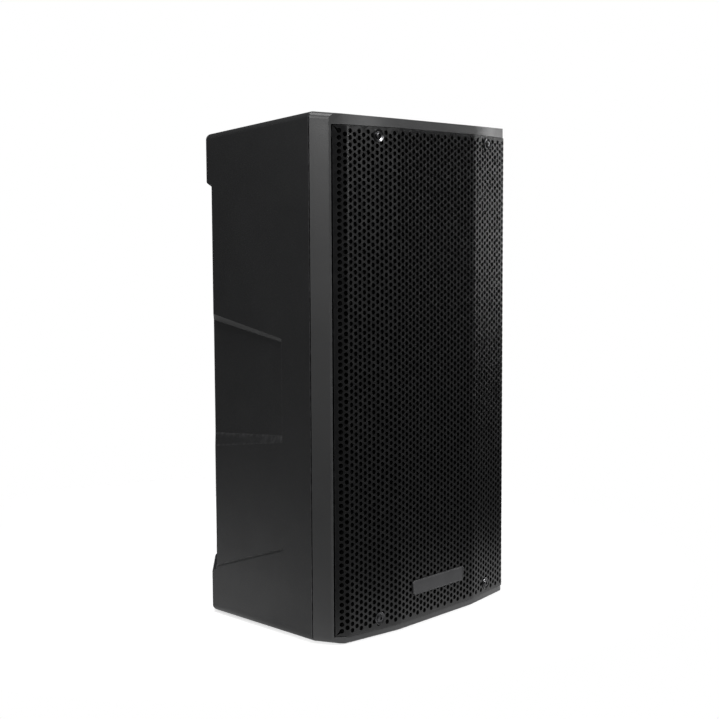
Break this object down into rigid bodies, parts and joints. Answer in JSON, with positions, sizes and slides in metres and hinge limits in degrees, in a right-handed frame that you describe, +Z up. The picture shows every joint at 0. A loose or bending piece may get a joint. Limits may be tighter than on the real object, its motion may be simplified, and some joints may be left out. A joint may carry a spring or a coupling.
{
  "type": "powered loudspeaker",
  "caption": "Portable powered two-way stage loudspeaker: moulded tapered cabinet, full-height folded steel grille, hand grips, pole socket and rear amplifier panel.",
  "frame": {"origin": "middle of the underside of the bounding box, on the floor under the feet", "axes": "+Z up, the grille faces -Y, +X to the right of a viewer in front of the grille"},
  "size_m": [0.368, 0.308, 0.64],
  "materials": {
    "shell_plastic": "fine textured satin",
    "baffle_plastic": "fine textured satin",
    "gasket_foam": "matt",
    "zinc_steel": "zinc plated",
    "black_steel": "black oxide",
    "grille_steel": "semi-matt powder coat",
    "acoustic_foam": "open cell",
    "badge_metal": "dark anodised",
    "foot_rubber": "matt",
    "wadding": "fluffy",
    "basket_steel": "satin black",
    "cone_paper": "pressed",
    "surround_cloth": "doped",
    "spider_cloth": "impregnated",
    "coil_copper": "enamelled",
    "ferrite": "sintered",
    "plated_steel": "zinc plated",
    "waveguide_plastic": "satin",
    "dome_metal": "foil",
    "panel_paint": "fine textured paint",
    "heatsink_aluminium": "black anodised",
    "circuit_board": "solder mask",
    "jack_plastic": "satin",
    "contact_metal": "plated",
    "knob_plastic": "satin",
    "button_plastic": "satin",
    "latch_metal": "satin",
    "rocker_plastic": "gloss",
    "fuse_glass": "clear",
    "light_lens": "clear",
    "lead_insulation": "satin"
  },
  "bodies": {
    "cabinet": {"rear_shell": "shell_plastic", "front_baffle": "baffle_plastic", "baffle_gasket": "gasket_foam", "baffle_screws": "black_steel", "grip_cups": "shell_plastic", "rubber_feet": "foot_rubber", "pole_socket": "waveguide_plastic", "pole_socket_screws": "zinc_steel", "port_tubes": "waveguide_plastic", "damping_foam": "wadding", "grille": "grille_steel", "grille_foam": "acoustic_foam", "grille_posts": "waveguide_plastic", "grille_screws": "black_steel", "badge_plate": "badge_metal", "woofer_basket": "basket_steel", "woofer_seal": "gasket_foam", "woofer_surround": "surround_cloth", "woofer_spider": "spider_cloth", "woofer_top_plate": "plated_steel", "woofer_magnet": "ferrite", "woofer_yoke": "plated_steel", "woofer_terminal": "circuit_board", "horn_waveguide": "waveguide_plastic", "driver_screws": "black_steel", "driver_plates": "plated_steel", "driver_magnet": "ferrite", "driver_phase_plug": "waveguide_plastic", "driver_rear_cap": "jack_plastic", "panel_seal": "gasket_foam", "amp_panel": "panel_paint", "panel_screws": "black_steel", "heatsink": "heatsink_aluminium", "amp_cover": "zinc_steel", "power_supply": "circuit_board", "amp_board": "circuit_board", "input_board": "circuit_board", "combo_jacks": "jack_plastic", "link_output": "jack_plastic", "contact_pins": "contact_metal", "control_bodies": "jack_plastic", "mains_inlet": "jack_plastic", "power_switch_housing": "jack_plastic", "status_lights": "light_lens", "speaker_leads": "lead_insulation"},
    "woofer_moving": {"woofer_cone": "cone_paper", "woofer_dust_cap": "cone_paper", "woofer_voice_coil": "coil_copper"},
    "diaphragm": {"driver_diaphragm": "dome_metal"},
    "volume_left": {"volume_knob_left": "knob_plastic"},
    "volume_right": {"volume_knob_right": "knob_plastic"},
    "preset": {"preset_knob": "knob_plastic"},
    "line_button_left": {"line_button_left": "button_plastic"},
    "line_button_right": {"line_button_right": "button_plastic"},
    "combo_latch_left": {"combo_latch_left": "latch_metal"},
    "combo_latch_middle": {"combo_latch_middle": "latch_metal"},
    "fuse_drawer": {"fuse_drawer": "jack_plastic", "mains_fuse": "fuse_glass"},
    "power_rocker": {"power_rocker": "rocker_plastic"}
  },
  "joints": [
    {"name": "woofer_travel", "type": "slide", "parent": "cabinet", "child": "woofer_moving", "axis": [0, -1, 0], "range_m": [-0.006, 0.006], "stiffness_N_per_m": 3000, "deforming": ["woofer_surround", "woofer_spider"]},
    {"name": "diaphragm_travel", "type": "slide", "parent": "cabinet", "child": "diaphragm", "axis": [0, -1, 0], "range_m": [-0.0003, 0.0003], "stiffness_N_per_m": 5000},
    {"name": "volume_left_turn", "type": "hinge", "parent": "cabinet", "child": "volume_left", "pos_m": [-0.054, 0.1435, 0.266], "axis": [0, 1, 0], "range_deg": [-150, 150]},
    {"name": "volume_right_turn", "type": "hinge", "parent": "cabinet", "child": "volume_right", "pos_m": [0, 0.1435, 0.266], "axis": [0, 1, 0], "range_deg": [-150, 150]},
    {"name": "preset_turn", "type": "hinge", "parent": "cabinet", "child": "preset", "pos_m": [0.054, 0.1435, 0.266], "axis": [0, 1, 0], "range_deg": [-60, 60]},
    {"name": "line_button_left_press", "type": "slide", "parent": "cabinet", "child": "line_button_left", "axis": [0, -1, 0], "range_m": [0, 0.002], "stiffness_N_per_m": 1000},
    {"name": "line_button_right_press", "type": "slide", "parent": "cabinet", "child": "line_button_right", "axis": [0, -1, 0], "range_m": [0, 0.002], "stiffness_N_per_m": 1000},
    {"name": "combo_latch_left_press", "type": "slide", "parent": "cabinet", "child": "combo_latch_left", "axis": [0, -1, 0], "range_m": [0, 0.002], "stiffness_N_per_m": 1500},
    {"name": "combo_latch_middle_press", "type": "slide", "parent": "cabinet", "child": "combo_latch_middle", "axis": [0, -1, 0], "range_m": [0, 0.002], "stiffness_N_per_m": 1500},
    {"name": "fuse_drawer_slide", "type": "slide", "parent": "cabinet", "child": "fuse_drawer", "axis": [0, 1, 0], "range_m": [0, 0.02]},
    {"name": "power_rocker_tilt", "type": "hinge", "parent": "cabinet", "child": "power_rocker", "pos_m": [0.044, 0.1405, 0.186], "axis": [1, 0, 0], "range_deg": [0, 18]}
  ]
}
